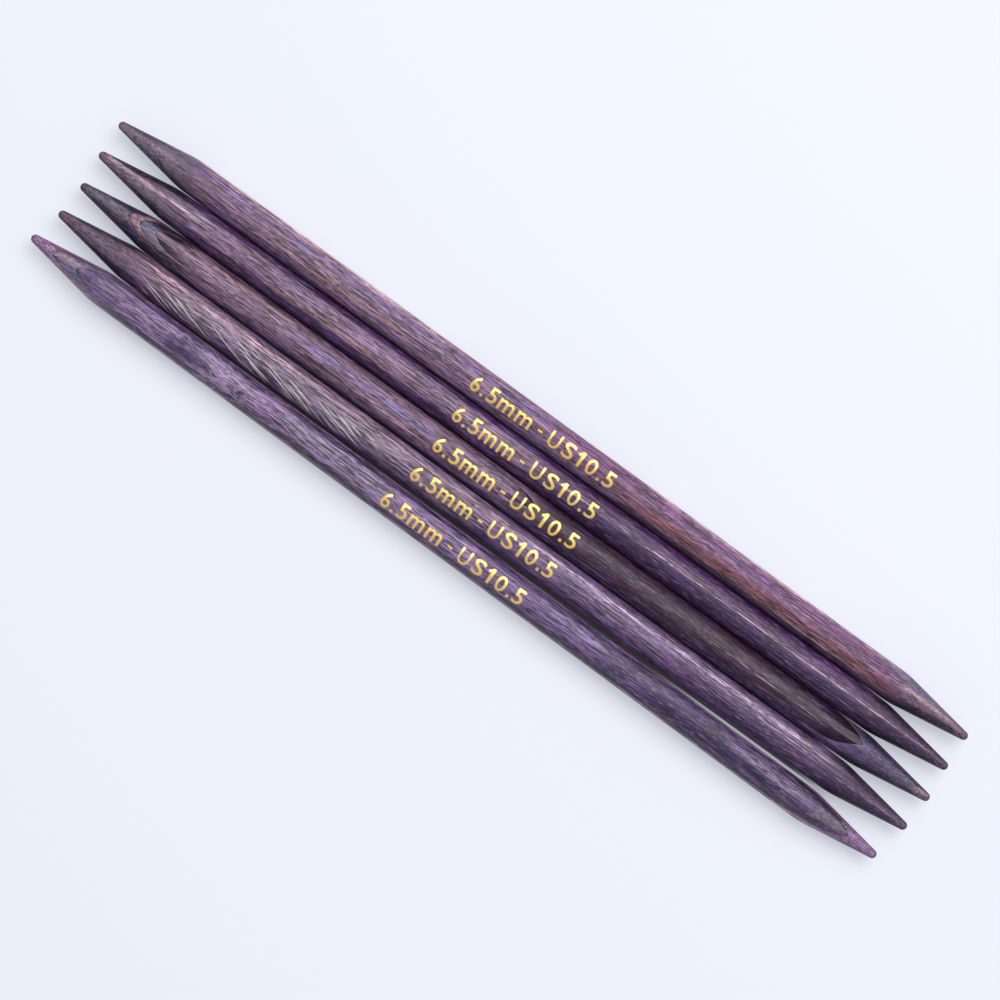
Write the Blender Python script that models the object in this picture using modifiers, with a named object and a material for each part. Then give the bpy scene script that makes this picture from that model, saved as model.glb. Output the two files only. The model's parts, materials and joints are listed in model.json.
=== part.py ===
# A set of five double pointed knitting needles, turned from laminated dyed birch.
# Each needle is a stack of glued veneers, so each veneer is a piece of its own.
# Units are metres. X runs along the needles, Y across the row, Z up from the table.

import math

import bpy

# Driving dimensions of one needle
NEEDLE_LENGTH = 0.195
NEEDLE_DIAMETER = 0.0065
TIP_RADIUS = 0.00085
TAPER_HALF_ANGLE = math.radians(9.1)
SHOULDER_ROUNDING = 0.022
BLANK_FACETS = 32

# The laminate
VENEER_THICKNESS = 0.00093
GLUE_LINE = 0.00005
VENEERS_PER_NEEDLE = 7

# The row: clear gap between neighbours at the end where they come closest, first pair first
ROW_GAPS = (0.00017, 0.00019, 0.00004, 0.00011)

# How each needle lies. slip is how far it has slid along the row and yaw how far it has
# turned on the table. grain_roll turns the veneers about the needle's axis: at 0 they lie
# flat, and below 0 the top one leans towards the first needle. stack_shift is how far the
# middle veneer lies off the needle's axis. The dyes run from the top veneer down.
NEEDLES = {
    "needle_1": {
        "slip": -0.00094,
        "yaw": math.radians(-0.016),
        "grain_roll": math.radians(24),
        "stack_shift": -0.00010,
        "dyes": ("mauve", "violet", "rose", "magenta", "mauve", "rust", "plum"),
    },
    "needle_2": {
        "slip": -0.00067,
        "yaw": math.radians(-0.016),
        "grain_roll": math.radians(-88),
        "stack_shift": 0.0,
        "dyes": ("plum", "mauve", "mauve", "slate", "tan", "plum", "violet"),
    },
    "needle_3": {
        "slip": 0.0,
        "yaw": 0.0,
        "grain_roll": math.radians(-18),
        "stack_shift": 0.00030,
        "dyes": ("rose", "charcoal", "violet", "slate", "plum", "mauve", "slate"),
    },
    "needle_4": {
        "slip": -0.00030,
        "yaw": math.radians(-0.082),
        "grain_roll": math.radians(-84),
        "stack_shift": 0.00015,
        "dyes": ("tan", "rose", "mauve", "slate", "violet", "plum", "plum"),
    },
    "needle_5": {
        "slip": -0.00180,
        "yaw": math.radians(-0.38),
        "grain_roll": math.radians(-3),
        "stack_shift": 0.00010,
        "dyes": ("mauve", "slate", "magenta", "rose", "mauve", "plum", "slate"),
    },
}

# Dyes of the veneers, as linear colours
DYES = {
    "rose": (0.42, 0.20, 0.27),
    "mauve": (0.20, 0.11, 0.20),
    "plum": (0.07, 0.03, 0.09),
    "magenta": (0.22, 0.07, 0.16),
    "violet": (0.13, 0.11, 0.27),
    "slate": (0.07, 0.07, 0.11),
    "charcoal": (0.09, 0.07, 0.08),
    "rust": (0.25, 0.06, 0.04),
    "tan": (0.42, 0.25, 0.15),
}

# Straight steps that stand for the rounded stretches of the turned outline
TIP_STEPS = 3
SHOULDER_STEPS = 3

# A cutter reaches this far past the wood
CUTTER_MARGIN = 0.002
# The outline's doubled points at the two tips are merged within this distance
POLE_MERGE = 0.000001


def collection(name):
    made = bpy.data.collections.new(name)
    bpy.context.scene.collection.children.link(made)
    return made


def lacquered_veneer(name, dye):
    material = bpy.data.materials.new(name)
    material.use_nodes = True
    shader = material.node_tree.nodes["Principled BSDF"]
    shader.inputs["Base Color"].default_value = (*DYES[dye], 1.0)
    shader.inputs["Roughness"].default_value = 0.38
    shader.inputs["Metallic"].default_value = 0.0
    material.diffuse_color = (*DYES[dye], 1.0)
    return material


def taper_outline(radius):
    """One end of the needle as (distance from its tip, radius) pairs, tip first."""
    sine, cosine = math.sin(TAPER_HALF_ANGLE), math.cos(TAPER_HALF_ANGLE)
    outline = [(0.0, 0.0)]
    for step in range(1, TIP_STEPS + 1):
        turn = (math.pi / 2 - TAPER_HALF_ANGLE) * step / TIP_STEPS
        outline.append((TIP_RADIUS * (1 - math.cos(turn)), TIP_RADIUS * math.sin(turn)))
    rounding = min(SHOULDER_ROUNDING, (radius - TIP_RADIUS) / (2 * (1 - cosine)))
    cone_rise = radius - rounding * (1 - cosine) - TIP_RADIUS * cosine
    cone_run = cone_rise * cosine / sine
    cone_start = TIP_RADIUS * (1 - sine)
    shoulder_start = cone_start + cone_run
    for step in range(SHOULDER_STEPS + 1):
        turn = TAPER_HALF_ANGLE * (1 - step / SHOULDER_STEPS)
        along = shoulder_start + rounding * (sine - math.sin(turn))
        outline.append((along, radius - rounding * (1 - math.cos(turn))))
    return outline


def needle_outline():
    """The whole turned outline as (height, radius) pairs, from the top tip down."""
    near_end = taper_outline(NEEDLE_DIAMETER / 2)
    half = NEEDLE_LENGTH / 2
    top = [(half - along, radius) for along, radius in near_end]
    bottom = [(along - half, radius) for along, radius in reversed(near_end)]
    return top + bottom


def outline_mesh(name):
    # The outline stands half a facet off +X, so that one facet faces straight down
    half_facet = math.pi / BLANK_FACETS
    points = [
        (radius * math.cos(half_facet), radius * math.sin(half_facet), height)
        for height, radius in needle_outline()
    ]
    edges = [(index, index + 1) for index in range(len(points) - 1)]
    mesh = bpy.data.meshes.new(name)
    mesh.from_pydata(points, edges, [])
    return mesh


def veneer_limits(number, stack_shift):
    """Lowest and highest height of a veneer in its stack, the first one on top."""
    reach = NEEDLE_DIAMETER / 2 + CUTTER_MARGIN
    middle = (VENEERS_PER_NEEDLE + 1) / 2
    centre = (middle - number) * VENEER_THICKNESS + stack_shift
    low = centre - VENEER_THICKNESS / 2 + GLUE_LINE / 2
    high = centre + VENEER_THICKNESS / 2 - GLUE_LINE / 2
    if number == 1:
        high = reach
    if number == VENEERS_PER_NEEDLE:
        low = -reach
    return low, high


def slab_cutter(name, low, high, grain_roll, holder, cutters):
    bpy.ops.mesh.primitive_cube_add(size=1)
    slab = bpy.context.object
    slab.name = name
    length = NEEDLE_LENGTH + 2 * CUTTER_MARGIN
    width = NEEDLE_DIAMETER + 2 * CUTTER_MARGIN
    for vertex in slab.data.vertices:
        vertex.co.x *= length
        vertex.co.y *= width
        vertex.co.z = vertex.co.z * (high - low) + (high + low) / 2
    slab.rotation_euler = (grain_roll, 0, 0)
    slab.parent = holder
    slab.hide_render = True
    slab.display_type = "WIRE"
    for user in list(slab.users_collection):
        user.objects.unlink(slab)
    cutters.objects.link(slab)
    return slab


def veneer(name, dye, outline, slab, holder, parts):
    """A veneer is the turned needle where it lies inside its slab of the blank."""
    piece = bpy.data.objects.new(name, outline.copy())
    piece.data.materials.append(lacquered_veneer(name + "_wood", dye))
    parts.objects.link(piece)
    piece.parent = holder
    piece.rotation_euler = (0, math.pi / 2, 0)

    turning = piece.modifiers.new("turned", "SCREW")
    turning.axis = "Z"
    turning.angle = 2 * math.pi
    turning.steps = BLANK_FACETS
    turning.render_steps = BLANK_FACETS
    turning.use_merge_vertices = True
    turning.merge_threshold = POLE_MERGE
    turning.use_smooth_shade = True

    cut = piece.modifiers.new("veneer", "BOOLEAN")
    cut.operation = "INTERSECT"
    cut.solver = "EXACT"
    cut.object = slab
    return piece


def row_places():
    """Distance of each needle's middle across the row, from the first needle on."""
    places = [0.0]
    lies = list(NEEDLES.values())
    half_length = NEEDLE_LENGTH / 2
    for gap, above, below in zip(ROW_GAPS, lies, lies[1:]):
        spread = half_length * abs(math.sin(below["yaw"] - above["yaw"]))
        places.append(places[-1] - NEEDLE_DIAMETER - gap - spread)
    return places


def needle(name, lie, across, row, parts, cutters):
    holder = bpy.data.objects.new(name, None)
    parts.objects.link(holder)
    holder.parent = row
    # The lowest facet of the turned blank rests on the table
    axis_height = NEEDLE_DIAMETER / 2 * math.cos(math.pi / BLANK_FACETS)
    holder.location = (lie["slip"], across, axis_height)
    holder.rotation_euler = (0, 0, lie["yaw"])
    outline = outline_mesh(name + "_outline")
    for number, dye in enumerate(lie["dyes"], 1):
        low, high = veneer_limits(number, lie["stack_shift"])
        node = f"{name}_ply_{number}"
        slab = slab_cutter(node + "_slab", low, high, lie["grain_roll"], holder, cutters)
        veneer(node, dye, outline, slab, holder, parts)
    bpy.data.meshes.remove(outline)


def centre_row(row, parts):
    """Slide the row until the middle of its box, seen from above, is at the origin."""
    bpy.context.view_layer.update()
    graph = bpy.context.evaluated_depsgraph_get()
    corners = []
    for piece in parts.objects:
        if piece.type == "MESH":
            shaped = piece.evaluated_get(graph)
            corners += [shaped.matrix_world @ vertex.co for vertex in shaped.data.vertices]
    for axis in (0, 1):
        reach = [corner[axis] for corner in corners]
        row.location[axis] = -(min(reach) + max(reach)) / 2


def build():
    for old in list(bpy.data.objects):
        bpy.data.objects.remove(old)
    parts = collection("double_pointed_needles")
    cutters = collection("cutters")
    row = bpy.data.objects.new("row", None)
    parts.objects.link(row)
    for (name, lie), across in zip(NEEDLES.items(), row_places()):
        needle(name, lie, across, row, parts, cutters)
    centre_row(row, parts)


build()
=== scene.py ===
import bpy
import json
import math
from mathutils import Color, Matrix, Vector


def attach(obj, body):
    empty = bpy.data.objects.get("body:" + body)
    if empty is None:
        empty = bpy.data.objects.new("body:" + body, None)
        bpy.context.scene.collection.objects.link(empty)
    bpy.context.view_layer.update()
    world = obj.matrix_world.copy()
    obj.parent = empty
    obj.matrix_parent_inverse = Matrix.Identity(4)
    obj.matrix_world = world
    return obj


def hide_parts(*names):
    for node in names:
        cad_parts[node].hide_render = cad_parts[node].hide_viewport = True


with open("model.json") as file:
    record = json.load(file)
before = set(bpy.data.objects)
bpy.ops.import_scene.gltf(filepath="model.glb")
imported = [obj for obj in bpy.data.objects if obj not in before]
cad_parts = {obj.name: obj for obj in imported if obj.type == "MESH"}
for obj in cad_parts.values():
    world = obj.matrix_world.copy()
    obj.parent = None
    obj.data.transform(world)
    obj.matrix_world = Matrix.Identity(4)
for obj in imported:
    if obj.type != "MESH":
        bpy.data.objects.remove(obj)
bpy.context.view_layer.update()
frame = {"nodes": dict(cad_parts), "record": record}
print("frame loaded")

mm = 0.001

# one turned stick, sizes in millimetres
stick = {
    "radius": 3.25,
    "tipRadius": 0.85,
    "taperAngle": 9.1,
    "shoulderRadius": 22.0,
    "tipSteps": 8,
    "coneSteps": 6,
    "shoulderSteps": 8,
    "bodySteps": 16,
    "sides": 96,
    "poleReach": 1e-7,  # metres, to find the last ring again
}

# the laminate; wobble is how far a glue line strays from flat, in two waves of these lengths
laminate = {
    "plies": 7,
    "thickness": 0.93,
    "wobble": 0.05,
    "longWave": 11,
    "shortWave": 4.3,
    "shortShare": 0.6,
    "seedTurn": 2.1,
    "plyTurn": 0.7,
    "cutMargin": 1.5,
    "gridAlong": 170,
    "gridAcross": 8,
}

# dyes and lacquer, as they look in soft daylight
dyes = {
    "mauve": "806A7F",
    "violet": "726185",
    "rose": "9A7B8C",
    "magenta": "7F5479",
    "plum": "53415F",
    "plumDark": "36233F",
    "rust": "80584E",
    "slate": "554B62",
    "slateNavy": "48425A",
    "charcoal": "4E3E4C",
    "tan": "A3857C",
    "rosePale": "C6A6B4",
    "pinkTan": "B898A2",
    "wine": "5C2A3C",
    "lilac": "9C84A6",
    "lilacBlue": "918CAC",
    "blueViolet": "7B70A8",
    "greyLilac": "877C8C",
    "greyGreen": "6D6A78",
    "cream": "DCD8D4",
    "paleLilac": "BAA8BE",
    "tipViolet": "A07FA8",
    "umber": "523C36",
    # colour of painted shade on the sides of the tapers
    "paintedShadeNavy": "2C2546",
}


def dye(name):
    seen = Color([int(dyes[name][i:i + 2], 16) / 255 for i in (0, 2, 4)])
    bare = []
    for value in seen.from_srgb_to_scene_linear():
        bare.append(max(value - lacquer["sheen"], lacquer["least"] * value) * lacquer["strength"])
    return (*bare, 1.0)


# each stick, in millimetres from its middle, across towards the first stick:
# lean is the way its top veneer faces, in degrees (0 up, + towards the first stick)
# shift is how far the stack of veneers sits off the stick's middle
# mark is where the middle of the size mark lies, along and across
# bends, for each glue line, are (from, to, climb)
# streaks are (dye, from, to, across, half width, slant, amount), then a veneer if only one has it;
# most are the wood's own dye, and the few that are painted shade or painted reflection are marked
# where they stand
# tongues are (dye, point, start, length of the nose, across, half width, amount)
# the sides of the tapers get painted shade: a dye for it and its amount on the left and on the
# right
# flames are (from, to, across, half width), a swirl is (along, across, length, width)
sticks = {
    "needle_1": {
        "lean": -24, "shift": -0.10, "seed": 1.0, "mark": (0.00, -0.30),
        "plies": ("mauve", "violet", "rose", "magenta", "mauve", "rust", "plum"),
        "bends": {1: [(66, 84, 0.25)]},
        "streaks": [
            ("magenta", 0, 88, 0.8, 2.6, 0.0, 0.62),
            ("lilac", -82, -14, 1.85, 0.5, 0.0, 0.35),
            # the next two: painted reflection along the free upper edge
            ("rosePale", -86, -18, 3.0, 0.46, 0.0, 0.90),
            ("rosePale", 22, 86, 3.0, 0.42, 0.0, 0.60),
            ("wine", -83, -38, 2.76, 0.09, 0.0, 0.80),
            ("tan", -67, -26, -0.95, 0.55, 0.0, 0.55),
            ("plumDark", 18, 97, -2.75, 0.55, 0.0, 0.60),
            ("rosePale", 52, 76, -2.1, 0.14, 0.0, 0.60),
            ("greyLilac", -100, -79, 0.0, 4.5, 0.0, 0.85),
            ("slate", -98, -84, 1.25, 0.45, 0.12, 0.60),
            ("rosePale", -89, -78, 2.75, 0.35, 0.10, 0.85),
            ("rosePale", -95, -80, 0.4, 0.25, 0.0, 0.40),
            ("rosePale", 79, 96, 0.45, 0.4, -0.02, 0.60),
            ("mauve", 80, 100, 0.0, 4.5, 0.0, 0.75),
            ("lilacBlue", 74, 93, 2.0, 0.6, -0.12, 0.65),
            ("rosePale", 79, 96, 0.75, 0.35, -0.03, 0.80),
            ("plumDark", 80, 99, -1.35, 0.95, 0.10, 0.90),
            ("plumDark", 10, 80, 0.55, 0.10, 0.0, 0.45),
            ("plumDark", 22, 84, 1.15, 0.08, 0.0, 0.45),
            ("plumDark", 30, 76, 1.75, 0.09, 0.0, 0.40),
            ("wine", 8, 80, 2.7, 0.10, 0.0, 0.60),
        ],
        "tongues": [("rust", 81.5, 7, 7.0, -1.2, 0.85, 0.62)],
        "taperShade": ("slateNavy", 0.65, 0.35),
    },
    "needle_2": {
        "lean": 88, "shift": 0.0, "seed": 2.0, "mark": (0.40, -0.20),
        "plies": ("plum", "mauve", "mauve", "mauve", "mauve", "plum", "plum"),
        "bends": {},
        "streaks": [
            ("plum", 2, 99, 0.0, 4.5, 0.0, 0.75),
            ("slateNavy", 10, 99, -1.0, 1.2, 0.0, 0.60),
            ("tan", -56, -24, -0.95, 0.5, 0.0, 0.50),
            ("lilac", -46, -4, 0.5, 0.2, 0.0, 0.40),
            ("rosePale", 8, 96, 0.46, 0.12, 0.0, 0.80),
            ("greyLilac", -99, -76, -0.6, 1.1, -0.07, 0.70),
            ("lilacBlue", -84, -66, 1.0, 0.8, 0.0, 0.45),
            # painted shade on the upper side of the left taper
            ("plumDark", -95, -76, 2.1, 0.7, 0.12, 0.90),
            ("rosePale", -99, -68, 0.50, 0.36, 0.0, 0.95),
        ],
        "tongues": [],
        "taperShade": ("plumDark", 0.70, 0.90),
    },
    "needle_3": {
        "lean": 18, "shift": 0.30, "seed": 3.0, "mark": (0.10, -0.10),
        "plies": ("mauve", "charcoal", "slateNavy", "slateNavy", "plum", "mauve", "slate"),
        "bends": {
            1: [(-76, -81, 0.62), (-2, 14, 1.15)],
            2: [(-76, -84, 1.15), (73.5, 81, 1.50)],
            3: [(-78, -86, 1.65)],
        },
        "streaks": [
            ("mauve", -86, 20, 0.0, 4.5, 0.0, 0.70, 1),
            ("mauve", -76, 10, 0.0, 5.0, 0.0, 0.85, 2),
            ("mauve", -76, 10, 0.0, 5.0, 0.0, 0.60, 3),
            ("tan", -76, -44, 2.2, 0.3, 0.0, 0.60),
            ("blueViolet", -48, -12, 0.5, 0.42, 0.0, 0.70),
            ("rosePale", -32, -12, -1.1, 0.35, 0.0, 0.35),
            ("greyGreen", -99, -80, 0.2, 1.3, 0.0, 0.70, 4),
            ("greyLilac", -98, -80, 0.4, 0.9, 0.0, 0.85, 4),
            ("greyLilac", -92, -70, -1.0, 2.2, 0.0, 0.75, 2),
            ("lilacBlue", -90, -74, 0.9, 1.0, 0.0, 0.70, 2),
            ("pinkTan", -93, -73, 0.8, 2.3, 0.0, 0.95, 3),
            # the next two: painted shade on the upper and lower sides of the left taper
            ("plumDark", -81, -70, 2.25, 0.28, 0.16, 0.90),
            ("plumDark", -83, -73, -2.35, 0.4, -0.10, 0.75),
            ("rosePale", 44, 83, -0.05, 0.06, 0.0, 0.50),
            ("violet", 70, 99, 0.0, 5.0, 0.0, 0.65, 3),
            ("violet", 70, 99, 0.0, 5.0, 0.0, 0.55, 4),
            ("greyGreen", 82, 96, 0.35, 0.6, -0.01, 0.85, 3),
            ("paleLilac", 76, 83, 1.2, 0.8, -0.20, 0.60, 3),
            ("greyGreen", 82, 96, 0.35, 0.6, -0.01, 0.85, 4),
            ("pinkTan", 93, 101, 0.1, 0.8, 0.0, 0.80),
        ],
        "tongues": [],
        "taperShade": ("paintedShadeNavy", 0.42, 0.85),
    },
    "needle_4": {
        "lean": 84, "shift": 0.15, "seed": 4.0, "mark": (0.15, -0.25),
        "plies": ("mauve", "rose", "mauve", "mauve", "mauve", "plum", "plum"),
        "bends": {},
        "streaks": [
            ("greyLilac", -72, 4, 0.0, 3.0, 0.0, 0.40),
            ("violet", 2, 99, -0.6, 4.5, 0.0, 0.65),
            ("plum", 40, 99, -1.0, 2.0, 0.0, 0.55),
            ("rosePale", -78, -30, 1.9, 0.5, 0.0, 0.50),
            ("tan", -78, -62, 0.6, 0.5, 0.0, 0.40),
            ("paleLilac", 2, 88, 1.78, 0.38, 0.0, 0.75),
            ("rosePale", 58, 97, 0.58, 0.11, 0.0, 0.60),
            ("slate", -99, -78, 0.0, 4.0, 0.0, 0.20),
            ("greyLilac", -94, -79, 0.15, 0.6, 0.0, 0.55),
            ("plum", 77, 99, 0.0, 4.5, 0.0, 0.80),
            ("greyLilac", 80, 98, 0.1, 0.35, 0.0, 0.65),
        ],
        "tongues": [],
        "taperShade": ("plumDark", 0.85, 0.90),
        "flames": (-76, -20, -1.3, 1.6),
    },
    "needle_5": {
        "lean": 3, "shift": 0.10, "seed": 5.0, "mark": (0.00, -0.35),
        "plies": ("violet", "slate", "tipViolet", "rose", "mauve", "plum", "slate"),
        "bends": {1: [(78, 84, 0.75)], 2: [(80, 89, 0.25)]},
        "streaks": [
            ("lilac", -84, 10, 0.0, 4.0, 0.0, 0.42, 1),
            ("mauve", -82, 80, 0.0, 6.0, 0.0, 0.80, 3),
            ("mauve", -90, 90, 0.0, 6.0, 0.0, 0.60, 4),
            ("greyLilac", -40, -10, 0.0, 2.2, 0.0, 0.45, 1),
            ("slate", 34, 84, 0.0, 4.0, 0.0, 0.60, 1),
            ("slateNavy", 44, 78, -0.3, 1.8, 0.0, 0.80, 1),
            ("lilac", 62, 84, 0.8, 0.7, 0.0, 0.35, 1),
            ("lilacBlue", -94, -74, 0.0, 3.5, 0.0, 0.75, 2),
            ("greyGreen", -90, -80, 0.3, 0.8, 0.0, 0.45, 2),
            ("greyLilac", 76, 94, 0.2, 1.4, 0.0, 0.80, 2),
            ("pinkTan", -94, -76, -2.2, 0.3, -0.13, 0.80),
            ("wine", -94, -81, 1.9, 0.18, 0.14, 0.80),
            # painted reflection along the free lower edge at the right end
            ("rosePale", 72, 90, -2.85, 0.42, 0.09, 0.90),
            ("rosePale", -96, -83, 0.5, 0.55, 0.06, 0.85),
            ("plumDark", -70, 84, -2.65, 0.22, 0.0, 0.75),
            # painted shade on the upper side of the right taper
            ("paintedShadeNavy", 72, 92, 2.4, 0.5, -0.12, 0.85),
        ],
        "tongues": [],
        "taperShade": ("plum", 0.25, 0.30),
        "swirl": (-61.0, -0.3, 6.5, 1.8),
    },
}

# size mark: each sign with its left edge and width, in millimetres, then its height
sizeMark = {
    "signs": [
        ("6", 0.25, 1.85), (".", 2.62, 0.70), ("5", 4.00, 1.92), ("m", 6.50, 3.25),
        ("m", 10.50, 3.25), ("-", 15.30, 1.05), ("U", 17.85, 2.40), ("S", 21.15, 2.30),
        ("1", 24.15, 1.25), ("0", 26.40, 2.10), (".", 29.20, 0.70), ("5", 30.50, 2.00),
    ],
    "length": 32.5,
    "digitHeight": 3.05,
    "letterHeight": 2.30,
    "lowHeight": {".": 0.66, "-": 0.44},
    "dashBottom": 1.15,
    "oneStem": (0.73, 0.52),  # middle and width, in widths of the sign
    "oneFlag": (0.33, 0.80, 0.74, 0.15),  # middle along and up, length and thickness
    "oneTilt": 38,
    "boldness": 0.012,
    "curveSteps": 5,
    "blockTop": 1.0,
    "foil": 0.025,
    "sink": 0.03,
    "sleeveSides": 160,
    "sharpAngle": 30,
}


def deselect():
    if bpy.context.object and bpy.context.object.mode != "OBJECT":
        bpy.ops.object.mode_set(mode="OBJECT")
    bpy.ops.object.select_all(action="DESELECT")


def applyModifier(piece, modifier):
    deselect()
    piece.select_set(True)
    bpy.context.view_layer.objects.active = piece
    bpy.ops.object.modifier_apply(modifier=modifier.name)


def placeMesh(piece, matrix):
    piece.data.transform(matrix @ piece.matrix_world)
    piece.matrix_world = Matrix.Identity(4)


def smoothStep(way):
    way = min(max(way, 0.0), 1.0)
    return way * way * (3 - 2 * way)


# where a stick lies is read from the frame
def stickPlace(name):
    points = []
    for node in frame["record"]["behaviour"]["bodies"][name]:
        points += [vertex.co for vertex in frame["nodes"][node].data.vertices]
    left = min(points, key=lambda point: point.x)
    right = max(points, key=lambda point: point.x)
    run = right - left
    middle = (left + right) / 2
    turn = Matrix.Rotation(math.atan2(run.y, run.x), 4, "Z")
    return Matrix.Translation(middle) @ turn, run.length / mm


def taperStations():
    angle = math.radians(stick["taperAngle"])
    sine, cosine = math.sin(angle), math.cos(angle)
    tip, radius, shoulder = stick["tipRadius"], stick["radius"], stick["shoulderRadius"]
    stations = []
    for step in range(1, stick["tipSteps"] + 1):
        turn = (math.pi / 2 - angle) * step / stick["tipSteps"]
        stations.append((tip * (1 - math.cos(turn)), tip * math.sin(turn)))
    coneStart, coneRadius = stations[-1]
    coneRise = radius - shoulder * (1 - cosine) - coneRadius
    for step in range(1, stick["coneSteps"] + 1):
        rise = coneRise * step / stick["coneSteps"]
        stations.append((coneStart + rise * cosine / sine, coneRadius + rise))
    shoulderStart = stations[-1][0]
    for step in range(1, stick["shoulderSteps"] + 1):
        turn = angle * (1 - step / stick["shoulderSteps"])
        along = shoulderStart + shoulder * (sine - math.sin(turn))
        stations.append((along, radius - shoulder * (1 - math.cos(turn))))
    return stations


def stickStations(length):
    left = [(along - length / 2, radius) for along, radius in taperStations()]
    right = [(-x, radius) for x, radius in reversed(left)]
    start, end = left[-1][0], right[0][0]
    steps = stick["bodySteps"]
    body = [(start + (end - start) * step / steps, stick["radius"]) for step in range(1, steps)]
    return left + body + right


def turnBlank(length):
    stations = [(x * mm, radius * mm) for x, radius in stickStations(length)]
    deselect()
    x, radius = stations[0]
    bpy.ops.mesh.primitive_circle_add(
        vertices=stick["sides"], radius=radius, fill_type="NOTHING",
        location=(x, 0, 0), rotation=(0, math.pi / 2, 0))
    blank = bpy.context.object
    bpy.ops.object.mode_set(mode="EDIT")
    bpy.ops.mesh.select_all(action="SELECT")
    for nextX, nextRadius in stations[1:]:
        bpy.ops.mesh.extrude_edges_move(TRANSFORM_OT_translate={"value": (nextX - x, 0, 0)})
        grow = nextRadius / radius
        bpy.ops.transform.resize(value=(1, grow, grow), center_override=(nextX, 0, 0))
        x, radius = nextX, nextRadius
    # each open end gets its pole, a hair beyond the last ring
    for side in (1, -1):
        if side < 0:
            bpy.ops.object.mode_set(mode="OBJECT")
            first = min((blank.matrix_world @ vertex.co).x for vertex in blank.data.vertices)
            for vertex in blank.data.vertices:
                vertex.select = (blank.matrix_world @ vertex.co).x < first + stick["poleReach"]
            bpy.ops.object.mode_set(mode="EDIT")
        reach = (length / 2 - abs(stations[0][0]) / mm) * mm
        bpy.ops.mesh.extrude_edges_move(TRANSFORM_OT_translate={"value": (side * reach, 0, 0)})
        bpy.ops.mesh.merge(type="CENTER")
    bpy.ops.mesh.select_all(action="SELECT")
    bpy.ops.mesh.normals_make_consistent(inside=False)
    bpy.ops.object.mode_set(mode="OBJECT")
    placeMesh(blank, Matrix.Identity(4))
    print("blank turned,", len(blank.data.vertices), "points")
    return blank


# height of the glue line under a veneer, in the stack, all in millimetres
def glueLine(look, ply, x, across):
    middle = laminate["plies"] / 2
    height = (middle - ply) * laminate["thickness"] + look["shift"]
    for start, end, climb in look["bends"].get(ply, []):
        height += climb * smoothStep((x - start) / (end - start))
    phase = look["seed"] * laminate["seedTurn"] + ply * laminate["plyTurn"]
    height += laminate["wobble"] * math.sin(x / laminate["longWave"] + phase)
    shortTurn = x / laminate["shortWave"] + 2 * phase + across / 2
    height += laminate["wobble"] * laminate["shortShare"] * math.sin(shortTurn)
    return height


def slabCutter(look, ply, length):
    deselect()
    bpy.ops.mesh.primitive_grid_add(
        x_subdivisions=laminate["gridAlong"], y_subdivisions=laminate["gridAcross"], size=1)
    slab = bpy.context.object
    bpy.ops.object.mode_set(mode="EDIT")
    bpy.ops.mesh.select_all(action="SELECT")
    outside = stick["radius"] + laminate["cutMargin"]
    bpy.ops.transform.resize(
        value=(length + 2 * laminate["cutMargin"], 2 * outside, 1), center_override=(0, 0, 0))
    bpy.ops.mesh.extrude_region_move(TRANSFORM_OT_translate={"value": (0, 0, -1)})
    bpy.ops.mesh.select_all(action="SELECT")
    bpy.ops.mesh.normals_make_consistent(inside=False)
    bpy.ops.object.mode_set(mode="OBJECT")
    for vertex in slab.data.vertices:
        x, y, z = vertex.co
        if z > -0.5:
            vertex.co.z = outside if ply == 1 else glueLine(look, ply - 1, x, y)
        else:
            vertex.co.z = -outside if ply == laminate["plies"] else glueLine(look, ply, x, y)
    turn = Matrix.Rotation(math.radians(-look["lean"]), 4, "X")
    slab.data.transform(Matrix.Scale(mm, 4) @ turn)
    return slab


def radiusAt(stations, x):
    for (x0, r0), (x1, r1) in zip(stations, stations[1:]):
        if x0 <= x <= x1:
            return r0 + (r1 - r0) * (x - x0) / (x1 - x0), (r1 - r0) / (x1 - x0)
    return 0.0, 0.0


skin = {
    "depth": 0.97,  # share of the radius from which a face counts as skin
    "tip": 0.4,     # radius below which all of the tip does
    "facing": 0.99,
}


# the turned skin is smooth and the glued faces flat, so the light runs on over a joint
def shadeVeneer(piece, stations):
    for face in piece.data.polygons:
        x, y, z = face.center / mm
        radius, slope = radiusAt(stations, x)
        far = max(math.hypot(y, z), 1e-6)
        outward = Vector((-slope, y / far, z / far)).normalized()
        onSkin = far > radius * skin["depth"] or radius < skin["tip"]
        face.use_smooth = onSkin and face.normal.dot(outward) > skin["facing"]


def cutVeneer(blank, look, ply, length, stations, name):
    piece = blank.copy()
    piece.data = blank.data.copy()
    piece.name = name
    bpy.context.collection.objects.link(piece)
    slab = slabCutter(look, ply, length)
    cut = piece.modifiers.new("cut", "BOOLEAN")
    cut.operation = "INTERSECT"
    cut.solver = "EXACT"
    cut.object = slab
    applyModifier(piece, cut)
    bpy.data.objects.remove(slab)
    shadeVeneer(piece, stations)
    return piece


def socketValue(tree, socket, value):
    if isinstance(value, bpy.types.NodeSocket):
        tree.links.new(value, socket)
    else:
        socket.default_value = value


def mathNode(tree, operation, first, second=0.0, third=0.0, clamp=False):
    node = tree.nodes.new("ShaderNodeMath")
    node.operation = operation
    node.use_clamp = clamp
    for socket, value in zip(node.inputs, (first, second, third)):
        socketValue(tree, socket, value)
    return node.outputs[0]


def ramp(tree, value, low, high, toLow=0.0, toHigh=1.0):
    node = tree.nodes.new("ShaderNodeMapRange")
    node.interpolation_type = "SMOOTHSTEP"
    for socket, setting in zip(node.inputs, (value, low, high, toLow, toHigh)):
        socketValue(tree, socket, setting)
    return node.outputs[0]


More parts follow.
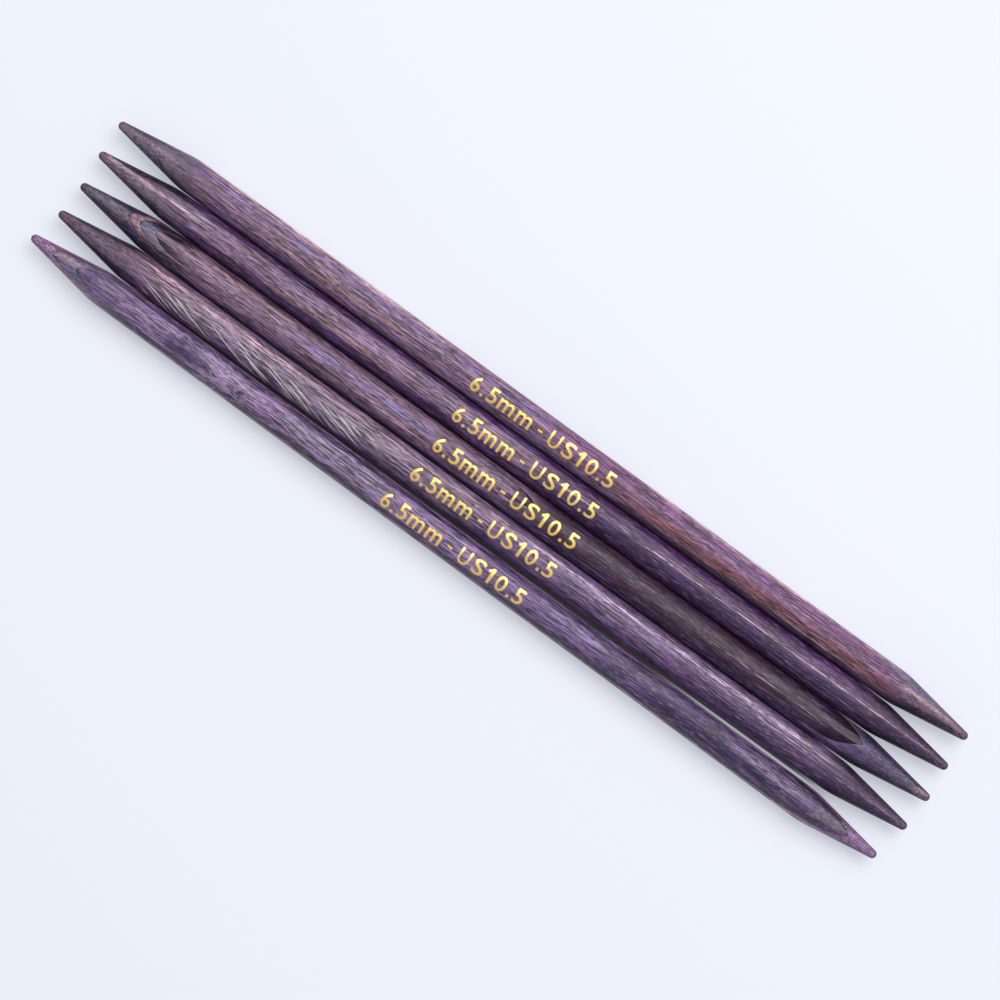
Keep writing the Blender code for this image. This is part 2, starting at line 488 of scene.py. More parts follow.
def stretched(tree, x, y, z, along, across, move=0.0):
    node = tree.nodes.new("ShaderNodeCombineXYZ")
    tree.links.new(mathNode(tree, "MULTIPLY_ADD", x, along, move), node.inputs[0])
    tree.links.new(mathNode(tree, "MULTIPLY", y, across), node.inputs[1])
    tree.links.new(mathNode(tree, "MULTIPLY", z, across), node.inputs[2])
    return node.outputs[0]


def noise(tree, vector, detail=2.0, roughness=0.5, distortion=0.0):
    node = tree.nodes.new("ShaderNodeTexNoise")
    node.inputs["Scale"].default_value = 1.0
    node.inputs["Detail"].default_value = detail
    node.inputs["Roughness"].default_value = roughness
    node.inputs["Distortion"].default_value = distortion
    tree.links.new(vector, node.inputs["Vector"])
    return node.outputs[0]


def newGroup(name, inputs, outputs):
    group = bpy.data.node_groups.new(name, "ShaderNodeTree")
    for label, kind, value in inputs:
        socket = group.interface.new_socket(label, in_out="INPUT", socket_type=kind)
        if value is not None:
            socket.default_value = value
    for label in outputs:
        group.interface.new_socket(label, in_out="OUTPUT", socket_type="NodeSocketFloat")
    take = group.nodes.new("NodeGroupInput").outputs
    give = group.nodes.new("NodeGroupOutput").inputs
    return group, take, give


def splitVector(tree, vector):
    node = tree.nodes.new("ShaderNodeSeparateXYZ")
    tree.links.new(vector, node.inputs[0])
    return node.outputs[0], node.outputs[1], node.outputs[2]


valueSocket, vectorSocket = "NodeSocketFloat", "NodeSocketVector"

# patterns are scaled along and across the stick, per millimetre, and moved to a place of their own
grain = {
    "layers": [  # along, across, share
        (0.05, 1.3, 0.7), (0.10, 3.6, 1.0), (0.20, 5.6, 2.5),
        (0.25, 8.0, 3.0), (0.7, 12.0, 3.0), (1.8, 7.0, 1.6)],
    "depthwise": 0.8,
    "seedShift": 31.7,
    "wave": (0.07, 0.22),
    # the light flecks stand for flecks of the wood and also for painted glints of the lacquer in
    # the open grain
    "FleckAndGlint": (0.5, 6.5, 51.0, 0.60, 0.70),  # along, across, move, where marks begin and are full
    "Pore": (0.22, 6.5, 97.0, 0.58, 0.68),
    "drift": (0.13, 1.5, 13.0),
    "taper": (72.0, 84.0),  # the grain calms down between these
    "taperCalm": 0.5,
}


def birchGrainGroup():
    tree, take, give = newGroup(
        "birchGrain",
        [("Vector", vectorSocket, None), ("Seed", valueSocket, 1.0), ("Wander", valueSocket, 0.5)],
        ["Tone", "FleckAndGlint", "Pore", "Drift", "Height"])
    x, y, z = splitVector(tree, take["Vector"])
    shift = mathNode(tree, "MULTIPLY", take["Seed"], grain["seedShift"])
    wave = noise(tree, stretched(tree, x, y, z, *grain["wave"], shift), 1.0)
    wave = mathNode(tree, "MULTIPLY", mathNode(tree, "SUBTRACT", wave, 0.5), take["Wander"])
    y = mathNode(tree, "ADD", y, wave)
    z = mathNode(tree, "MULTIPLY", mathNode(tree, "ADD", z, wave), grain["depthwise"])
    tone = 0.5
    for along, across, share in grain["layers"]:
        layer = noise(tree, stretched(tree, x, y, z, along, across, shift), 1.0, 0.5)
        tone = mathNode(tree, "MULTIPLY_ADD", mathNode(tree, "SUBTRACT", layer, 0.5), share, tone)
    tone = mathNode(tree, "ADD", tone, 0.0, clamp=True)
    calm = ramp(tree, mathNode(tree, "ABSOLUTE", x), *grain["taper"], 1.0, grain["taperCalm"])
    tone = mathNode(tree, "MULTIPLY_ADD", mathNode(tree, "SUBTRACT", tone, 0.5), calm, 0.5)
    tree.links.new(tone, give["Tone"])
    for mark in ("FleckAndGlint", "Pore"):
        along, across, move, begins, full = grain[mark]
        move = mathNode(tree, "ADD", shift, move)
        spots = noise(tree, stretched(tree, x, y, z, along, across, move), 1.0)
        spots = mathNode(tree, "MULTIPLY", ramp(tree, spots, begins, full), calm)
        tree.links.new(spots, give[mark])
    along, across, move = grain["drift"]
    move = mathNode(tree, "ADD", shift, move)
    drift = noise(tree, stretched(tree, x, y, z, along, across, move), 3.0, 0.65)
    tree.links.new(drift, give["Drift"])
    tree.links.new(tone, give["Height"])
    return tree


# how an edge strays, round 0.5
def strayNoise(tree, x, y, z, pattern):
    return noise(tree, stretched(tree, x, y, z, *pattern), 3.0, 0.6)


streakEdge = {
    "pattern": (0.12, 0.5, 11.0),
    "sway": 0.5,
    "width": (1.6, 0.2),  # by how much the noise widens a streak, and the least width
    "soft": (0.55, 1.25),
    "fray": 6.0,
    "feather": 5.0,
    "broken": (0.8, 0.55),
}


# a feathered band of another colour along the grain: mostly the wood's own dye, and in a few
# streaks painted shade or painted reflection
def featheredStreakGroup():
    tree, take, give = newGroup(
        "featheredStreak",
        [("Vector", vectorSocket, None), ("Tone", valueSocket, 0.5), ("From", valueSocket, 0.0),
         ("To", valueSocket, 10.0), ("Across", valueSocket, 0.0), ("Half Width", valueSocket, 0.5),
         ("Slant", valueSocket, 0.0)],
        ["Mask"])
    x, y, z = splitVector(tree, take["Vector"])
    middle = mathNode(tree, "MULTIPLY", mathNode(tree, "ADD", take["From"], take["To"]), 0.5)
    lean = mathNode(tree, "MULTIPLY", mathNode(tree, "SUBTRACT", x, middle), take["Slant"])
    off = mathNode(tree, "SUBTRACT", mathNode(tree, "SUBTRACT", y, take["Across"]), lean)
    stray = strayNoise(tree, x, y, z, streakEdge["pattern"])
    width = mathNode(tree, "MULTIPLY_ADD", stray, *streakEdge["width"])
    reach = mathNode(tree, "MULTIPLY", take["Half Width"], width)
    stray = mathNode(tree, "SUBTRACT", stray, 0.5)
    off = mathNode(tree, "MULTIPLY_ADD", stray, streakEdge["sway"], off)
    side = mathNode(tree, "DIVIDE", mathNode(tree, "ABSOLUTE", off), reach)
    mask = ramp(tree, side, *streakEdge["soft"], 1.0, 0.0)
    frayed = mathNode(tree, "SUBTRACT", take["Tone"], 0.5)
    frayed = mathNode(tree, "MULTIPLY_ADD", frayed, streakEdge["fray"], x)
    start = ramp(tree, mathNode(tree, "SUBTRACT", frayed, take["From"]), 0.0, streakEdge["feather"])
    end = ramp(tree, mathNode(tree, "SUBTRACT", take["To"], frayed), 0.0, streakEdge["feather"])
    mask = mathNode(tree, "MULTIPLY", mask, mathNode(tree, "MULTIPLY", start, end))
    broken = mathNode(tree, "MULTIPLY_ADD", take["Tone"], *streakEdge["broken"], clamp=True)
    tree.links.new(mathNode(tree, "MULTIPLY", mask, broken), give["Mask"])
    return tree


tongueEdge = {
    "pattern": (0.16, 0.8, 23.0),
    "sway": 0.7,
    "soft": 0.15,
    "fadeIn": 22.0,
    "broken": (0.7, 0.6),
}


# the last of a veneer where the turning has cut it away: a band that ends in a blunt point
def veneerTongueGroup():
    tree, take, give = newGroup(
        "veneerTongue",
        [("Vector", vectorSocket, None), ("Tone", valueSocket, 0.5), ("Point", valueSocket, 80.0),
         ("Start", valueSocket, 0.0), ("Nose", valueSocket, 6.0), ("Across", valueSocket, 0.0),
         ("Half Width", valueSocket, 0.8)],
        ["Mask"])
    x, y, z = splitVector(tree, take["Vector"])
    back = mathNode(tree, "SUBTRACT", take["Point"], x)
    back = mathNode(tree, "DIVIDE", back, take["Nose"], clamp=True)
    width = mathNode(tree, "MULTIPLY", take["Half Width"], mathNode(tree, "SQRT", back))
    stray = strayNoise(tree, x, y, z, tongueEdge["pattern"])
    stray = mathNode(tree, "SUBTRACT", stray, 0.5)
    off = mathNode(tree, "MULTIPLY_ADD", stray, tongueEdge["sway"], y)
    off = mathNode(tree, "ABSOLUTE", mathNode(tree, "SUBTRACT", off, take["Across"]))
    side = mathNode(tree, "SUBTRACT", off, width)
    mask = ramp(tree, side, -tongueEdge["soft"], tongueEdge["soft"], 1.0, 0.0)
    start = ramp(tree, mathNode(tree, "SUBTRACT", x, take["Start"]), 0.0, tongueEdge["fadeIn"])
    mask = mathNode(tree, "MULTIPLY", mask, start)
    broken = mathNode(tree, "MULTIPLY_ADD", take["Tone"], *tongueEdge["broken"], clamp=True)
    tree.links.new(mathNode(tree, "MULTIPLY", mask, broken), give["Mask"])
    return tree


# where the painted shade on the sides of the tapers falls, and how far the worn tips reach
taperShadeAndWearEdge = {
    "taper": (0.16, 0.72),  # half width for each millimetre from the tip, and at the tip
    "pattern": (0.3, 1.2, 41.0),
    "sway": 0.5,
    "soft": (0.45, 0.85),
    "fadeIn": (22.0, 15.0),  # from the tip
    "wornTip": (0.75, 0.15),
}


# painted shade on the sides of the tapers: how near the side of a taper a place lies, on the left
# and on the right end; and the worn tips
def taperShadeAndWearGroup():
    tree, take, give = newGroup(
        "taperShadeAndWear",
        [("Vector", vectorSocket, None), ("Half Length", valueSocket, 97.5)],
        ["Left", "Right", "Tip"])
    x, y, z = splitVector(tree, take["Vector"])
    toTip = mathNode(tree, "SUBTRACT", take["Half Length"], mathNode(tree, "ABSOLUTE", x))
    width = mathNode(tree, "MULTIPLY_ADD", toTip, *taperShadeAndWearEdge["taper"])
    width = mathNode(tree, "MINIMUM", width, stick["radius"])
    stray = noise(tree, stretched(tree, x, y, z, *taperShadeAndWearEdge["pattern"]), 2.0)
    side = mathNode(tree, "DIVIDE", mathNode(tree, "ABSOLUTE", y), width)
    side = mathNode(tree, "SUBTRACT", side, taperShadeAndWearEdge["sway"] / 2)
    side = mathNode(tree, "MULTIPLY_ADD", stray, taperShadeAndWearEdge["sway"], side)
    mask = ramp(tree, side, *taperShadeAndWearEdge["soft"])
    mask = mathNode(tree, "MULTIPLY", mask, ramp(tree, toTip, *taperShadeAndWearEdge["fadeIn"]))
    tree.links.new(mathNode(tree, "MULTIPLY", mask, ramp(tree, x, 1.0, -1.0)), give["Left"])
    tree.links.new(mathNode(tree, "MULTIPLY", mask, ramp(tree, x, -1.0, 1.0)), give["Right"])
    tree.links.new(ramp(tree, toTip, *taperShadeAndWearEdge["wornTip"]), give["Tip"])
    return tree


flameRays = {
    "pattern": (0.11, 3.3, 5.0),
    "soft": (0.585, 0.645),
}


# bright rays that cross the grain at a slant
def flameGroup():
    tree, take, give = newGroup(
        "flameFigure", [("Vector", vectorSocket, None), ("Slope", valueSocket, -0.27)], ["Mask"])
    x, y, z = splitVector(tree, take["Vector"])
    turned = mathNode(tree, "SUBTRACT", y, mathNode(tree, "MULTIPLY", x, take["Slope"]))
    rays = noise(tree, stretched(tree, x, turned, 0.0, *flameRays["pattern"]), 0.0, 0.5)
    tree.links.new(ramp(tree, rays, *flameRays["soft"]), give["Mask"])
    return tree


knotRings = {
    "pattern": (0.3, 1.0, 3.0),
    "sway": 1.3,
    "inside": (0.6, 1.1),
    "spacing": 18.0,
    "ring": (0.0, 0.9),
    "leeFrom": (0.0, 0.8),
    "leeTo": (1.4, 2.9),
}


# fibres that part round a knot and close again behind it
def swirlGroup():
    tree, take, give = newGroup(
        "knotSwirl",
        [("Vector", vectorSocket, None), ("Along", valueSocket, 0.0), ("Across", valueSocket, 0.0),
         ("Long", valueSocket, 5.0), ("Wide", valueSocket, 1.6)],
        ["Inside", "Rings"])
    x, y, z = splitVector(tree, take["Vector"])
    u = mathNode(tree, "DIVIDE", mathNode(tree, "SUBTRACT", x, take["Along"]), take["Long"])
    v = mathNode(tree, "DIVIDE", mathNode(tree, "SUBTRACT", y, take["Across"]), take["Wide"])
    far = mathNode(tree, "MULTIPLY_ADD", u, u, mathNode(tree, "MULTIPLY", v, v))
    far = mathNode(tree, "SQRT", far)
    stray = strayNoise(tree, x, y, z, knotRings["pattern"])
    far = mathNode(tree, "SUBTRACT", far, knotRings["sway"] / 2)
    far = mathNode(tree, "MULTIPLY_ADD", stray, knotRings["sway"], far)
    tree.links.new(ramp(tree, far, *knotRings["inside"], 1.0, 0.0), give["Inside"])
    rings = mathNode(tree, "SINE", mathNode(tree, "MULTIPLY", far, knotRings["spacing"]))
    rings = ramp(tree, rings, *knotRings["ring"])
    lee = ramp(tree, far, *knotRings["leeTo"], 1.0, 0.0)
    lee = mathNode(tree, "MULTIPLY", ramp(tree, u, *knotRings["leeFrom"]), lee)
    tree.links.new(mathNode(tree, "MULTIPLY", rings, lee), give["Rings"])
    return tree


foil = {
    "gold": (0.98, 0.67, 0.18, 1.0),
    "metallic": 0.45,
    "roughness": 0.38,
    "wear": 0.3,
    "specks": (2.4, 5.5, 7.0),
    "speckEdge": (0.74, 0.35),  # without wear, and how much less for each unit of it
    "speckSoft": 0.05,
    "hollows": (1.0, 6.0, 7.0),
    "bump": 0.01,
    "bumpStrength": 0.5,
}


# where a stamped foil has missed the hollows of the grain or rubbed away
def wornFoilGroup():
    tree, take, give = newGroup(
        "wornFoil",
        [("Vector", vectorSocket, None), ("Wear", valueSocket, foil["wear"])],
        ["Worn", "Height"])
    x, y, z = splitVector(tree, take["Vector"])
    specks = noise(tree, stretched(tree, x, y, z, *foil["specks"]), 2.0, 0.6)
    unworn, perWear = foil["speckEdge"]
    edge = mathNode(tree, "SUBTRACT", unworn, mathNode(tree, "MULTIPLY", take["Wear"], perWear))
    full = mathNode(tree, "ADD", edge, foil["speckSoft"])
    tree.links.new(ramp(tree, specks, edge, full), give["Worn"])
    hollows = noise(tree, stretched(tree, x, y, z, *foil["hollows"]), 2.0, 0.6)
    tree.links.new(hollows, give["Height"])
    return tree


groups = {
    "grain": birchGrainGroup(),
    "streak": featheredStreakGroup(),
    "tongue": veneerTongueGroup(),
    "shadeAndWear": taperShadeAndWearGroup(),
    "flame": flameGroup(),
    "swirl": swirlGroup(),
    "worn": wornFoilGroup(),
}
print("node groups made")

lacquer = {
    "sheen": 0.045,  # what the gloss adds to every dye in daylight
    "least": 0.15,  # share of a dye that is left in any case
    "strength": 1.12,
    "deepest": 0.22,
    "lightest": 2.1,
    "roughness": 0.46,
    "duller": 0.08,  # on the deepest fibres
    "glossier": 0.06,  # on the lightest ones
    "specular": 0.5,
    "bump": 0.02,
    "bumpStrength": 0.6,
}

# how much of each mark shows
shares = {
    "wander": 0.3,
    "knotWander": 0.9,
    "charcoalLively": 0.45,
    "drift": 0.5,
    "coolBelow": (0.50, 0.30),
    "warmAbove": (0.52, 0.70),
    "tip": 0.75,
    "flames": 0.95,
    "flameTone": 0.8,
    "knot": 0.80,
    "rings": 0.50,
    "fleckAndGlint": 0.42,
    "pore": 0.34,
}


def groupNode(tree, name, **values):
    node = tree.nodes.new("ShaderNodeGroup")
    node.node_tree = groups[name]
    for label, value in values.items():
        socketValue(tree, node.inputs[label.replace("_", " ")], value)
    return node.outputs


def mixDye(tree, amount, under, over, blend="MIX"):
    node = tree.nodes.new("ShaderNodeMix")
    node.data_type = "RGBA"
    node.blend_type = blend
    for index, value in ((0, amount), (6, under), (7, over)):
        socketValue(tree, node.inputs[index], value)
    return node.outputs[2]


# millimetres from the stick's own middle, along and across it
def stickSpace(tree, place):
    coordinates = tree.nodes.new("ShaderNodeTexCoord")
    mapping = tree.nodes.new("ShaderNodeMapping")
    mapping.vector_type = "TEXTURE"
    mapping.inputs["Location"].default_value = place.translation
    mapping.inputs["Rotation"].default_value = place.to_euler()
    mapping.inputs["Scale"].default_value = (mm, mm, mm)
    tree.links.new(coordinates.outputs["Object"], mapping.inputs["Vector"])
    return mapping.outputs[0]


def veneerMaterial(name, look, ply, place):
    material = bpy.data.materials.new(name)
    material.use_nodes = True
    tree = material.node_tree
    shader = tree.nodes["Principled BSDF"]
    spot = stickSpace(tree, place)
    wander = shares["knotWander"] if "swirl" in look else shares["wander"]
    fibre = groupNode(tree, "grain", Vector=spot, Seed=look["seed"] + 0.13 * ply, Wander=wander)
    colour = dye(look["plies"][ply - 1])
    lively = shares["charcoalLively"] if look["plies"][ply - 1] == "charcoal" else 1.0
    cool = ramp(tree, fibre["Drift"], *shares["coolBelow"], 0.0, shares["drift"] * lively)
    warm = ramp(tree, fibre["Drift"], *shares["warmAbove"], 0.0, shares["drift"] * lively)
    colour = mixDye(tree, cool, colour, dye("blueViolet"))
    colour = mixDye(tree, warm, colour, dye("rose"))
    for streak in look["streaks"]:
        if len(streak) > 7 and streak[7] != ply:
            continue
        tint, start, end, across, halfWidth, slant, amount = streak[:7]
        mask = groupNode(tree, "streak", Vector=spot, Tone=fibre["Tone"], From=start, To=end,
                         Across=across, Half_Width=halfWidth, Slant=slant)["Mask"]
        colour = mixDye(tree, mathNode(tree, "MULTIPLY", mask, amount), colour, dye(tint))
    for tint, point, start, nose, across, halfWidth, amount in look["tongues"]:
        mask = groupNode(tree, "tongue", Vector=spot, Tone=fibre["Tone"], Point=point, Start=start,
                         Nose=nose, Across=across, Half_Width=halfWidth)["Mask"]
        colour = mixDye(tree, mathNode(tree, "MULTIPLY", mask, amount), colour, dye(tint))
    # painted shade darkens the sides of the tapers; the worn tips go umber
    shadeAndWear = groupNode(tree, "shadeAndWear", Vector=spot, Half_Length=stickLength / 2)
    paintedShadeDye, leftShade, rightShade = look["taperShade"]
    amount = mathNode(tree, "MULTIPLY", shadeAndWear["Left"], leftShade)
    amount = mathNode(tree, "MULTIPLY_ADD", shadeAndWear["Right"], rightShade, amount)
    colour = mixDye(tree, amount, colour, dye(paintedShadeDye))
    amount = mathNode(tree, "MULTIPLY", shadeAndWear["Tip"], shares["tip"])
    colour = mixDye(tree, amount, colour, dye("umber"))
    # fibres run from deep to light dye
    shade = mathNode(tree, "POWER", lacquer["lightest"] / lacquer["deepest"], fibre["Tone"])
    shade = mathNode(tree, "MULTIPLY", shade, lacquer["deepest"])
    shading = tree.nodes.new("ShaderNodeCombineColor")
    for socket in shading.inputs[:3]:
        tree.links.new(shade, socket)
    colour = mixDye(tree, 1.0, colour, shading.outputs[0], "MULTIPLY")
    if "flames" in look:
        start, end, across, halfWidth = look["flames"]
        field = groupNode(tree, "streak", Vector=spot, Tone=shares["flameTone"], From=start, To=end,
                          Across=across, Half_Width=halfWidth)["Mask"]
        rays = groupNode(tree, "flame", Vector=spot)["Mask"]
        amount = mathNode(tree, "MULTIPLY", field, rays)
        amount = mathNode(tree, "MULTIPLY", amount, shares["flames"])
        colour = mixDye(tree, amount, colour, dye("cream"))
    if "swirl" in look:
        along, across, long, wide = look["swirl"]
        knot = groupNode(
            tree, "swirl", Vector=spot, Along=along, Across=across, Long=long, Wide=wide)
        amount = mathNode(tree, "MULTIPLY", knot["Inside"], shares["knot"])
        colour = mixDye(tree, amount, colour, dye("slateNavy"))
        amount = mathNode(tree, "MULTIPLY", knot["Rings"], shares["rings"])
        colour = mixDye(tree, amount, colour, dye("paleLilac"))
    # light flecks of the wood, with painted glints of the lacquer among them
    amount = mathNode(tree, "MULTIPLY", fibre["FleckAndGlint"], shares["fleckAndGlint"] * lively)
    colour = mixDye(tree, amount, colour, dye("rosePale"))
    amount = mathNode(tree, "MULTIPLY", fibre["Pore"], shares["pore"] * lively)
    colour = mixDye(tree, amount, colour, dye("plumDark"))
    tree.links.new(colour, shader.inputs["Base Color"])
    dull = lacquer["roughness"] + lacquer["duller"]
    glossy = lacquer["roughness"] - lacquer["glossier"]
    rough = ramp(tree, fibre["Tone"], 0.0, 1.0, dull, glossy)
    tree.links.new(rough, shader.inputs["Roughness"])
    shader.inputs["Specular IOR Level"].default_value = lacquer["specular"]
    bump = tree.nodes.new("ShaderNodeBump")
    bump.inputs["Strength"].default_value = lacquer["bumpStrength"]
    bump.inputs["Distance"].default_value = lacquer["bump"] * mm
    tree.links.new(fibre["Height"], bump.inputs["Height"])
    tree.links.new(bump.outputs[0], shader.inputs["Normal"])
    return material


def foilMaterial(name, place):
    material = bpy.data.materials.new(name)
    material.use_nodes = True
    tree = material.node_tree
    shader = tree.nodes["Principled BSDF"]
    spot = stickSpace(tree, place)
    stamped = groupNode(tree, "worn", Vector=spot, Wear=foil["wear"])
    colour = mixDye(tree, stamped["Worn"], foil["gold"], dye("plum"))
    tree.links.new(colour, shader.inputs["Base Color"])
    metallic = mathNode(tree, "MULTIPLY_ADD", stamped["Worn"], -foil["metallic"], foil["metallic"])
    tree.links.new(metallic, shader.inputs["Metallic"])
    shader.inputs["Roughness"].default_value = foil["roughness"]
    bump = tree.nodes.new("ShaderNodeBump")
    bump.inputs["Strength"].default_value = foil["bumpStrength"]
    bump.inputs["Distance"].default_value = foil["bump"] * mm
    tree.links.new(stamped["Height"], bump.inputs["Height"])
    tree.links.new(bump.outputs[0], shader.inputs["Normal"])
    return material


# one sign of the size mark, as a tall block standing on its place, in millimetres
def signBlock(sign, left, width):
    height = sizeMark["letterHeight"] if sign == "m" else sizeMark["digitHeight"]
    top = stick["radius"] + sizeMark["blockTop"]
    deselect()
    if sign == "1":
        middle, thick = sizeMark["oneStem"]
        bpy.ops.mesh.primitive_cube_add(
            size=1, location=(left + width * middle, height / 2, top / 2))
        block = bpy.context.object
        block.scale = (width * thick, height, top)
        bpy.ops.object.transform_apply(location=True, rotation=True, scale=True)
        middle, up, long, thick = sizeMark["oneFlag"]
        bpy.ops.mesh.primitive_cube_add(
            size=1, location=(left + width * middle, height * up, top / 2))
        flag = bpy.context.object
        flag.scale = (width * long, height * thick, top + 0.2)  # no two faces in one plane
        flag.rotation_euler.z = math.radians(sizeMark["oneTilt"])
        bpy.ops.object.transform_apply(location=True, rotation=True, scale=True)
        join = block.modifiers.new("flag", "BOOLEAN")
        join.operation = "UNION"
        join.object = flag
        applyModifier(block, join)
        bpy.data.objects.remove(flag)
        return block
    bpy.ops.object.text_add()
    text = bpy.context.object
    text.data.body = sign
    text.data.offset = sizeMark["boldness"]
    text.data.resolution_u = sizeMark["curveSteps"]
    text.data.extrude = 0.5
    bpy.ops.object.convert(target="MESH")
    block = bpy.context.object
    points = [vertex.co for vertex in block.data.vertices]
    low = Vector([min(point[axis] for point in points) for axis in range(3)])
    high = Vector([max(point[axis] for point in points) for axis in range(3)])
    height = sizeMark["lowHeight"].get(sign, height)
    bottom = sizeMark["dashBottom"] if sign == "-" else 0.0
    for point in points:
        point.x = left + (point.x - low.x) / (high.x - low.x) * width
        point.y = bottom + (point.y - low.y) / (high.y - low.y) * height
        point.z = top * (0.5 + point.z)
    bpy.ops.object.mode_set(mode="EDIT")
    bpy.ops.mesh.select_all(action="SELECT")
    bpy.ops.mesh.remove_doubles(threshold=0.0005)
    bpy.ops.mesh.normals_make_consistent(inside=False)
    bpy.ops.object.mode_set(mode="OBJECT")
    return block


# a thin tube round the shaft, which the signs are cut from
def foilSleeve():
    deselect()
    reach = sizeMark["length"] + 2
    outer = stick["radius"] + sizeMark["foil"]
    bpy.ops.mesh.primitive_cylinder_add(
        vertices=sizeMark["sleeveSides"], radius=outer, depth=reach,
        end_fill_type="NOTHING", rotation=(0, math.pi / 2, 0))
    sleeve = bpy.context.object
    bpy.ops.object.transform_apply(location=True, rotation=True, scale=True)
    wall = sleeve.modifiers.new("foil", "SOLIDIFY")
    wall.thickness = sizeMark["foil"] + sizeMark["sink"]
    wall.offset = -1
    applyModifier(sleeve, wall)
    return sleeve


def stampSizeMark():
    blocks = [signBlock(*sign) for sign in sizeMark["signs"]]
    deselect()
    for block in blocks:
        block.select_set(True)
    bpy.context.view_layer.objects.active = blocks[0]
    bpy.ops.object.join()
    mark = bpy.context.object
    corner = (-sizeMark["length"] / 2, -sizeMark["digitHeight"] / 2, 0)
    mark.data.transform(Matrix.Translation(corner))
    sleeve = foilSleeve()
    cut = mark.modifiers.new("foil", "BOOLEAN")
    cut.operation = "INTERSECT"
    cut.solver = "EXACT"
    cut.object = sleeve
    applyModifier(mark, cut)
    bpy.data.objects.remove(sleeve)
    deselect()
    mark.select_set(True)
    bpy.context.view_layer.objects.active = mark
    bpy.ops.object.shade_smooth_by_angle(angle=math.radians(sizeMark["sharpAngle"]))
    mark.data.transform(Matrix.Scale(mm, 4))
    print("size mark cut,", len(mark.data.polygons), "faces")
    return mark


# put the row together
stickLength = stickPlace("needle_1")[1]
stations = stickStations(stickLength)
blank = turnBlank(stickLength)
mark = stampSizeMark()
for body, look in sticks.items():
    place, _ = stickPlace(body)
    title = body.replace("needle_", "needle")
    for ply in range(1, laminate["plies"] + 1):
        node = f"{body}_ply_{ply}"
        veneer = cutVeneer(blank, look, ply, stickLength, stations, f"{title}_veneer{ply}")
        veneer.data.transform(place)
        veneer.data.materials.clear()
        veneer.data.materials.append(veneerMaterial(veneer.name, look, ply, place))
        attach(veneer, body)
        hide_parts(node)
    stamp = mark.copy()
    stamp.data = mark.data.copy()
    stamp.name = f"{title}_sizeMark"
    bpy.context.collection.objects.link(stamp)
    along, across = look["mark"]
    roll = Matrix.Rotation(-across / stick["radius"], 4, "X")
    stamp.data.transform(place @ Matrix.Translation((along * mm, 0, 0)) @ roll)
    stamp.data.materials.clear()
    stamp.data.materials.append(foilMaterial(stamp.name, place))
    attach(stamp, body)
    print(body, "done")
bpy.data.objects.remove(blank)
bpy.data.objects.remove(mark)

# floor, light and camera
studio = {
    "floor": (0.46, 0.47, 0.50, 1.0),
    "floorSize": 8,
    "floorDrop": 0.02,  # the round sticks reach this far below the facets of the solids
    "paintedFloorGlow": (0.415, 0.428, 0.480, 1.0),  # lit from below too, but not under the row
    # painted light: the floor glows, except under the row, which is left as painted shade
    "glowEnds": (0.074, 0.085),
    "glowSides": (0.0105, 0.0175),
    "slitAcross": (-0.0100, -0.0102),
    "slitAlong": (0.040, 0.060),
    "paintedSlitGlow": 0.80,
    "sky": (0.95, 0.97, 1.0, 1.0),
    "skyStrength": 0.43,
    "softboxPower": 8.1,
    "softboxSize": 0.75,
    "softboxFrom": (0.12, 0.50, 0.86),
    "aimAt": (0.0010, -0.0013, 0.0032),
    "rowTurn": 35.93,
    "viewWidth": 186.25,
    "lens": 100.0,
    "sensor": 36.0,
    "nearest": 0.01,
}


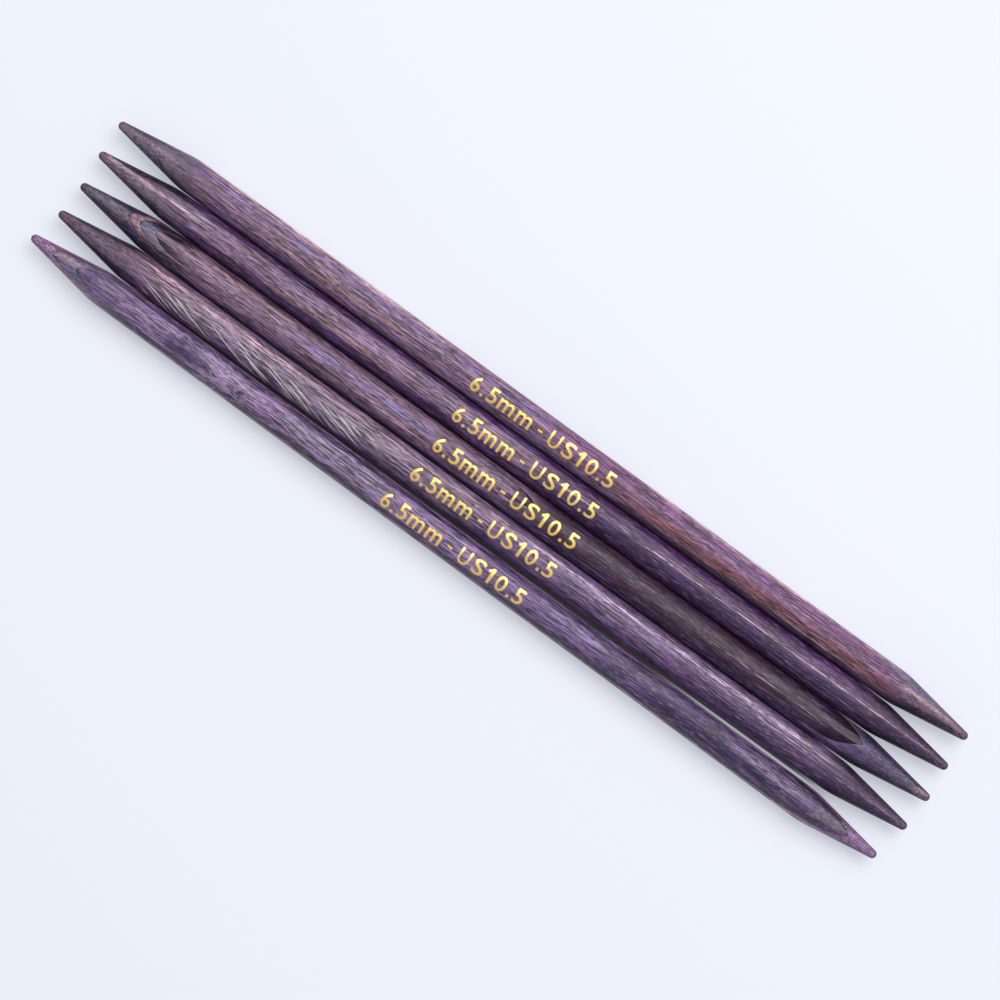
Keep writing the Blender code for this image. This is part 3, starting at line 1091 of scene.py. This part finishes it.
def makeFloor():
    deselect()
    bpy.ops.mesh.primitive_plane_add(
        size=studio["floorSize"], location=(0, 0, -studio["floorDrop"] * mm))
    floor = bpy.context.object
    floor.name = "studioFloor"
    paper = bpy.data.materials.new("paleFloor")
    paper.use_nodes = True
    shader = paper.node_tree.nodes["Principled BSDF"]
    shader.inputs["Base Color"].default_value = studio["floor"]
    shader.inputs["Roughness"].default_value = 0.9
    shader.inputs["Specular IOR Level"].default_value = 0.1
    tree = paper.node_tree
    x, y, _ = splitVector(tree, tree.nodes.new("ShaderNodeTexCoord").outputs["Object"])
    # painted light on the floor beyond the ends and sides of the row; none under the row, which
    # reads as painted shade
    beyondEnds = ramp(tree, mathNode(tree, "ABSOLUTE", x), *studio["glowEnds"])
    beyondSides = ramp(tree, mathNode(tree, "ABSOLUTE", y), *studio["glowSides"])
    # the last two sticks part a little to the right; painted light on the floor in that slit next
    # to the last stick, while next to the fourth stick it stays as painted shadow
    slit = ramp(tree, x, *studio["slitAlong"], 0.0, studio["paintedSlitGlow"])
    slit = mathNode(tree, "MULTIPLY", ramp(tree, y, *studio["slitAcross"]), slit)
    clear = mathNode(tree, "MAXIMUM", mathNode(tree, "MAXIMUM", beyondEnds, beyondSides), slit)
    paintedGlow = mixDye(tree, clear, (0.0, 0.0, 0.0, 1.0), studio["paintedFloorGlow"])
    tree.links.new(paintedGlow, shader.inputs["Emission Color"])
    shader.inputs["Emission Strength"].default_value = 1.0
    floor.data.materials.append(paper)


def makeLight():
    world = bpy.data.worlds.new("softRoom")
    world.use_nodes = True
    background = world.node_tree.nodes["Background"]
    background.inputs[0].default_value = studio["sky"]
    background.inputs[1].default_value = studio["skyStrength"]
    bpy.context.scene.world = world
    softbox = bpy.data.lights.new("softbox", "AREA")
    softbox.shape = "SQUARE"
    softbox.size = studio["softboxSize"]
    softbox.energy = studio["softboxPower"]
    lamp = bpy.data.objects.new("softbox", softbox)
    bpy.context.scene.collection.objects.link(lamp)
    lamp.location = studio["softboxFrom"]
    lamp.rotation_euler = lamp.location.to_track_quat("Z", "Y").to_euler()


def makeCamera():
    camera = bpy.data.cameras.new("camera")
    camera.lens = studio["lens"]
    camera.sensor_width = studio["sensor"]
    camera.clip_start = studio["nearest"]
    holder = bpy.data.objects.new("camera", camera)
    bpy.context.scene.collection.objects.link(holder)
    away = studio["viewWidth"] * mm * studio["lens"] / camera.sensor_width
    holder.location = Vector(studio["aimAt"]) + Vector((0, 0, away))
    holder.rotation_euler = (0, 0, math.radians(studio["rowTurn"]))
    bpy.context.scene.camera = holder


makeFloor()
makeLight()
makeCamera()
bpy.context.scene.view_settings.view_transform = "Standard"
print("studio made")
